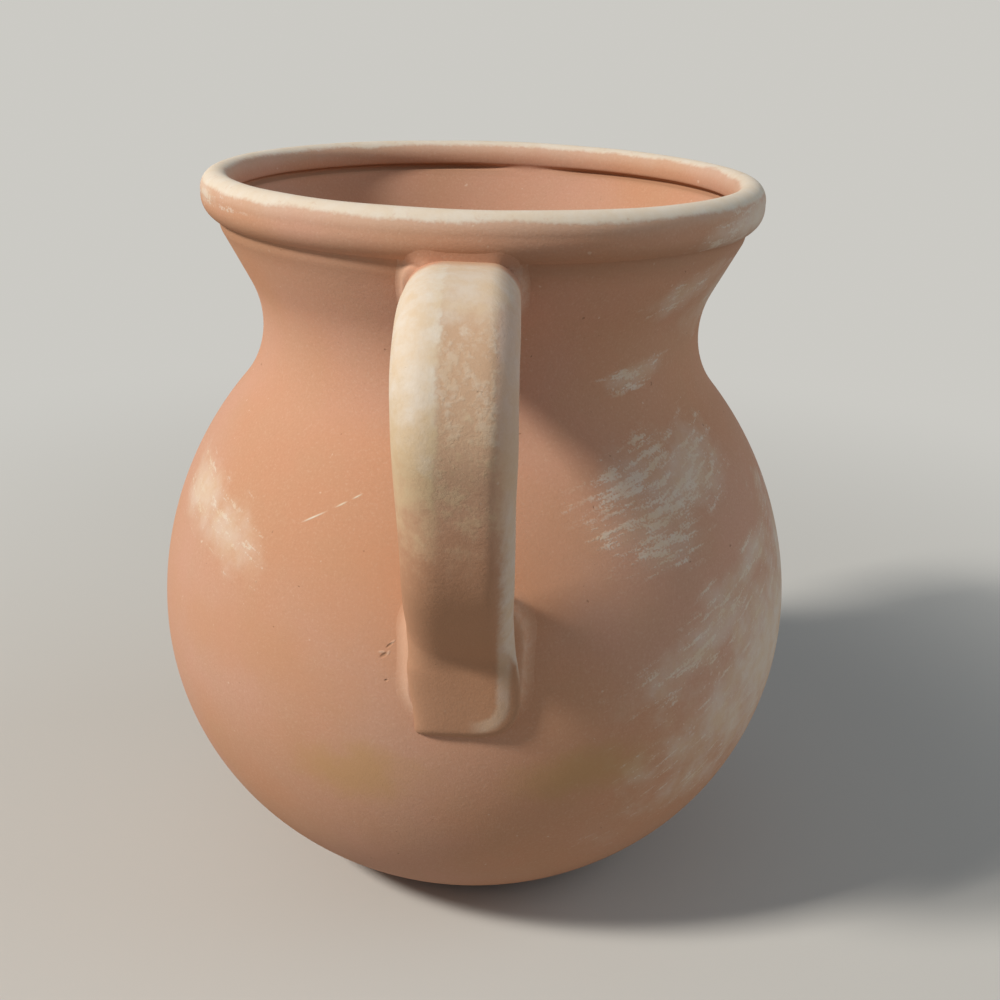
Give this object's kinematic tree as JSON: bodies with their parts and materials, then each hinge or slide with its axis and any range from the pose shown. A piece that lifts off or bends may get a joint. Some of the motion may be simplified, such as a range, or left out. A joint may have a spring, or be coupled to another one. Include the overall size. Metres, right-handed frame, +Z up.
{
  "type": "pitcher",
  "caption": "Round-bellied terracotta pitcher with a narrow neck, flared mouth, rolled rim with a slight pouring lip, and one strap handle luted to neck and belly.",
  "frame": {"origin": "centre of the flat underside", "axes": "+Z up along the pitcher's axis, -Y towards the handle, +Y towards the pouring lip, +X to the right when the handle is nearest"},
  "size_m": [0.2, 0.2265, 0.2171],
  "materials": {
    "terracotta": "matt unglazed earthenware with dry-brushed whitewash",
    "whitewashed_rim": "matt earthenware, whitewashed on top",
    "whitewashed_strap": "matt earthenware under worn whitewash",
    "wiped_clay": "matt earthenware, wiped smooth"
  },
  "bodies": {
    "root": {"base_slab": "terracotta", "body_wall": "terracotta", "rim_coil": "whitewashed_rim", "handle": "whitewashed_strap", "upper_lute": "wiped_clay", "lower_lute": "wiped_clay"}
  },
  "joints": []
}
